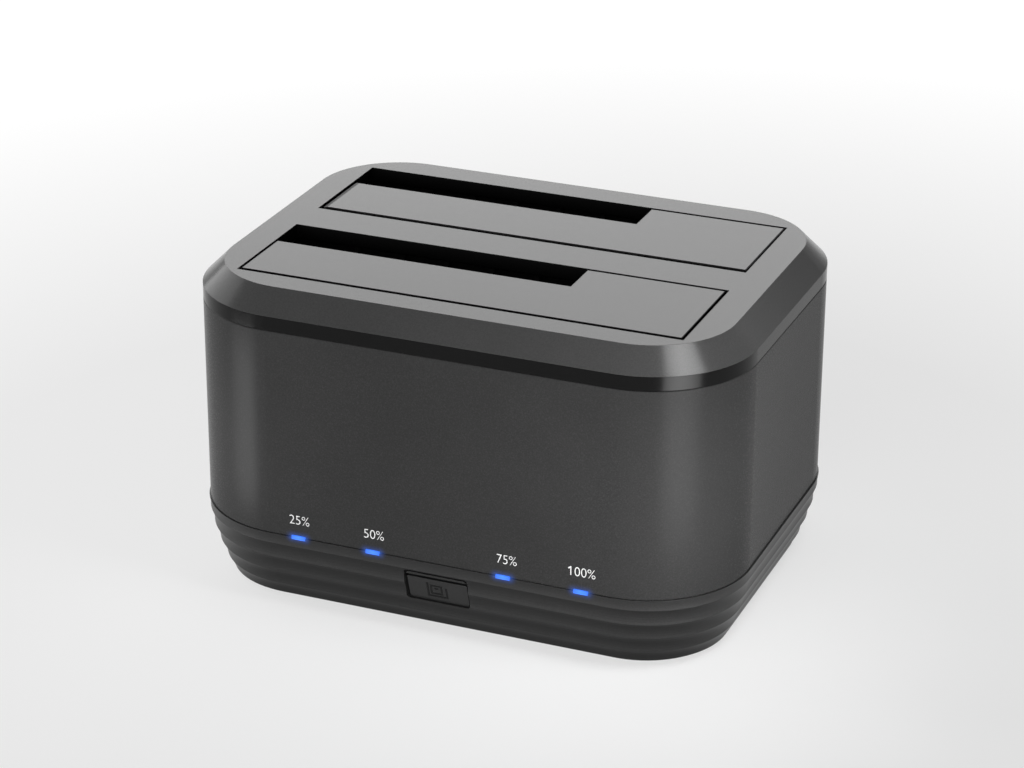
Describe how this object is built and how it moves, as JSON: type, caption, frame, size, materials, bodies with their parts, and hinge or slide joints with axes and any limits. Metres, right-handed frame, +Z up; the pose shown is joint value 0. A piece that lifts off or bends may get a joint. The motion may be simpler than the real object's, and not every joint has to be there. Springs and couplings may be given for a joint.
{
  "type": "hard drive docking station",
  "caption": "Table-top docking station for bare hard drives: sprung flaps over upright bays in a chamfered cap, plain shell, fluted base with clone button, lights and rear ports.",
  "frame": {"origin": "on the table under the middle of the housing", "axes": "+Z up, +X to the right seen from the front, the front with the clone button faces -Y"},
  "size_m": [0.1292, 0.0958, 0.0754],
  "materials": {
    "cap_plastic": "fine-grained black ABS, semi-matte",
    "shell_plastic": "fine-grained black ABS, matte",
    "base_plastic": "fine-grained black ABS, satin",
    "flap_plastic": "fine-grained black ABS, semi-matte",
    "liner_plastic": "plain moulded black ABS",
    "pin_steel": "ground steel wire",
    "spring_steel": "drawn spring wire",
    "board_laminate": "green solder mask on glass-fibre laminate",
    "socket_plastic": "glass-filled black nylon",
    "contact_gold": "gold flash on copper alloy",
    "chip_epoxy": "black moulding epoxy",
    "crystal_can": "nickel-plated steel can",
    "capacitor_sleeve": "shrunk vinyl sleeve on an aluminium can",
    "inductor_ferrite": "moulded ferrite",
    "led_resin": "clear resin over blue chips",
    "light_pipe_acrylic": "polished acrylic, lit blue",
    "button_plastic": "fine-grained black ABS, satin",
    "switch_can": "tinned steel cover",
    "plunger_plastic": "black nylon",
    "usb_steel": "nickel-plated steel sheet",
    "usb_blue_plastic": "blue nylon",
    "jack_plastic": "black nylon",
    "jack_pin_metal": "nickel-plated brass pin",
    "switch_plastic": "black nylon",
    "rocker_plastic": "polished black nylon",
    "terminal_brass": "bare brass tags",
    "screw_steel": "zinc-plated steel",
    "foot_rubber": "black silicone rubber"
  },
  "bodies": {
    "housing": {"top_cap": "cap_plastic", "middle_shell": "shell_plastic", "base_tray": "base_plastic", "front_bay": "liner_plastic", "rear_bay": "liner_plastic", "front_hinge_pin": "pin_steel", "rear_hinge_pin": "pin_steel", "front_flap_spring": "spring_steel", "rear_flap_spring": "spring_steel", "main_board": "board_laminate", "front_sata_socket": "socket_plastic", "rear_sata_socket": "socket_plastic", "front_sata_contacts": "contact_gold", "rear_sata_contacts": "contact_gold", "bridge_chip": "chip_epoxy", "clock_crystal": "crystal_can", "capacitors": "capacitor_sleeve", "inductors": "inductor_ferrite", "led_chips": "led_resin", "light_pipe_25": "light_pipe_acrylic", "light_pipe_50": "light_pipe_acrylic", "light_pipe_75": "light_pipe_acrylic", "light_pipe_100": "light_pipe_acrylic", "clone_switch": "switch_can", "usb_shell": "usb_steel", "usb_insert": "usb_blue_plastic", "dc_jack": "jack_plastic", "dc_jack_pin": "jack_pin_metal", "power_switch_frame": "switch_plastic", "power_switch_terminals": "terminal_brass", "base_screws": "screw_steel", "bay_screws": "screw_steel", "foot_front_left": "foot_rubber", "foot_front_right": "foot_rubber", "foot_rear_left": "foot_rubber", "foot_rear_right": "foot_rubber"},
    "front_flap": {"front_flap": "flap_plastic"},
    "rear_flap": {"rear_flap": "flap_plastic"},
    "clone_button": {"clone_button": "button_plastic"},
    "clone_switch_plunger": {"clone_switch_plunger": "plunger_plastic"},
    "power_rocker": {"power_rocker": "rocker_plastic"}
  },
  "joints": [
    {"name": "front_flap_hinge", "type": "hinge", "parent": "housing", "child": "front_flap", "pos_m": [0, -0.0347, 0.0735], "axis": [-1, 0, 0], "range_deg": [0, 90], "stiffness_Nm_per_rad": 0.004, "springref_deg": -45.84, "deforming": ["front_flap_spring"]},
    {"name": "rear_flap_hinge", "type": "hinge", "parent": "housing", "child": "rear_flap", "pos_m": [0, 0.0067, 0.0735], "axis": [-1, 0, 0], "range_deg": [0, 90], "stiffness_Nm_per_rad": 0.004, "springref_deg": -45.84, "deforming": ["rear_flap_spring"]},
    {"name": "clone_button_press", "type": "slide", "parent": "housing", "child": "clone_button", "axis": [0, 1, 0], "range_m": [0, 0.0005], "stiffness_N_per_m": 1000, "springref_m": -0.0005},
    {"name": "clone_switch_press", "type": "slide", "parent": "housing", "child": "clone_switch_plunger", "axis": [0, 1, 0], "range_m": [0, 0.0005]},
    {"name": "power_rocker_tilt", "type": "hinge", "parent": "housing", "child": "power_rocker", "pos_m": [0.021, 0.0429, 0.0107], "axis": [0, 0, 1], "range_deg": [-14, 0]}
  ],
  "couplings": [
    {"joint": "clone_switch_press", "follows": "clone_button_press", "ratio": 1}
  ]
}
